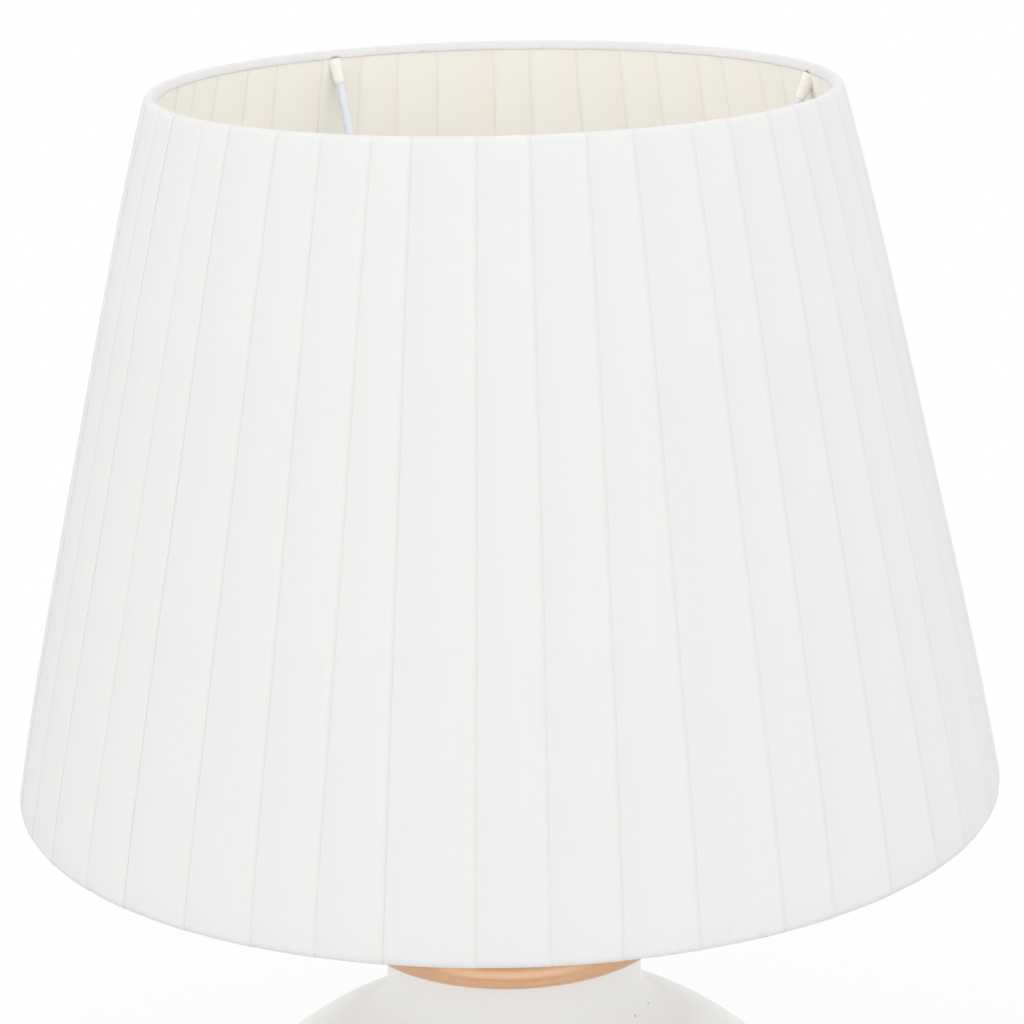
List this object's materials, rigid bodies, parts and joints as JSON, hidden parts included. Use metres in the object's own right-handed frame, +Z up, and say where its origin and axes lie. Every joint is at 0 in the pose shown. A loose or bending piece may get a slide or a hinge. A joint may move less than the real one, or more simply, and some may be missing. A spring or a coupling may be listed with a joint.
{
  "type": "table lamp",
  "caption": "Table lamp with a round glazed ceramic base, a turned wooden cap, a screw lampholder and a tapered knife-pleated cloth shade on a wire frame.",
  "frame": {"origin": "on the table, under the middle of the foot", "axes": "+Z up along the lamp's axis, +Y towards the back with the cord outlet, +X to the right seen from the front"},
  "size_m": [0.3464, 0.3464, 0.4955],
  "materials": {
    "glazed_ceramic": "glossy ivory glaze",
    "felt": "pressed felt",
    "outlet_rubber": "moulded, matt white",
    "turned_wood": "turned, satin lacquer",
    "zinc_steel": "zinc plated",
    "white_metal": "white powder coat",
    "white_plastic": "moulded",
    "porcelain": "unglazed",
    "contact_brass": "nickel-free strip",
    "bulb_insulator": "vitrite",
    "bulb_cap_metal": "rolled",
    "bulb_plastic": "moulded",
    "opal_globe": "opal diffuser",
    "shade_cloth": "white pleated chiffon ribbon",
    "lining_cloth": "cream"
  },
  "bodies": {
    "base": {"ceramic_body": "glazed_ceramic", "felt_pad": "felt", "cord_grommet": "outlet_rubber", "wooden_cap": "turned_wood", "threaded_tube": "zinc_steel", "lower_washer": "zinc_steel", "lower_nut": "zinc_steel", "upper_washer": "zinc_steel", "upper_nut": "zinc_steel", "neck_sleeve": "white_metal", "holder_cap": "white_plastic", "holder_skirt": "white_plastic", "holder_insert": "porcelain", "screw_shell": "contact_brass", "centre_contact": "contact_brass", "terminal_screws": "contact_brass"},
    "shade": {"fitter_ring": "white_metal", "fitter_arm_1": "white_metal", "fitter_arm_2": "white_metal", "fitter_arm_3": "white_metal", "top_ring": "white_metal", "bottom_ring": "white_metal", "frame_strut_1": "white_metal", "frame_strut_2": "white_metal", "frame_strut_3": "white_metal", "frame_strut_4": "white_metal", "frame_strut_5": "white_metal", "frame_strut_6": "white_metal", "pleated_cover": "shade_cloth", "shade_lining": "lining_cloth"},
    "clamp_ring": {"clamp_ring": "white_plastic"},
    "bulb_seat": {"bulb_tip": "bulb_insulator"},
    "bulb": {"bulb_cap": "bulb_cap_metal", "bulb_housing": "bulb_plastic", "bulb_globe": "opal_globe"}
  },
  "joints": [
    {"name": "shade_turn", "type": "hinge", "parent": "base", "child": "shade", "pos_m": [0, 0, 0.255], "axis": [0, 0, 1], "continuous": true},
    {"name": "clamp_ring_turn", "type": "hinge", "parent": "base", "child": "clamp_ring", "pos_m": [0, 0, 0.2608], "axis": [0, 0, 1], "range_deg": [0, 720]},
    {"name": "bulb_climb", "type": "slide", "parent": "base", "child": "bulb_seat", "axis": [0, 0, 1], "range_m": [0, 0.0109]},
    {"name": "bulb_turn", "type": "hinge", "parent": "bulb_seat", "child": "bulb", "pos_m": [0, 0, 0.2708], "axis": [0, 0, 1], "range_deg": [0, 1080]}
  ],
  "couplings": [
    {"joint": "bulb_climb", "follows": "bulb_turn", "m_per_rad": 0.00057757}
  ]
}
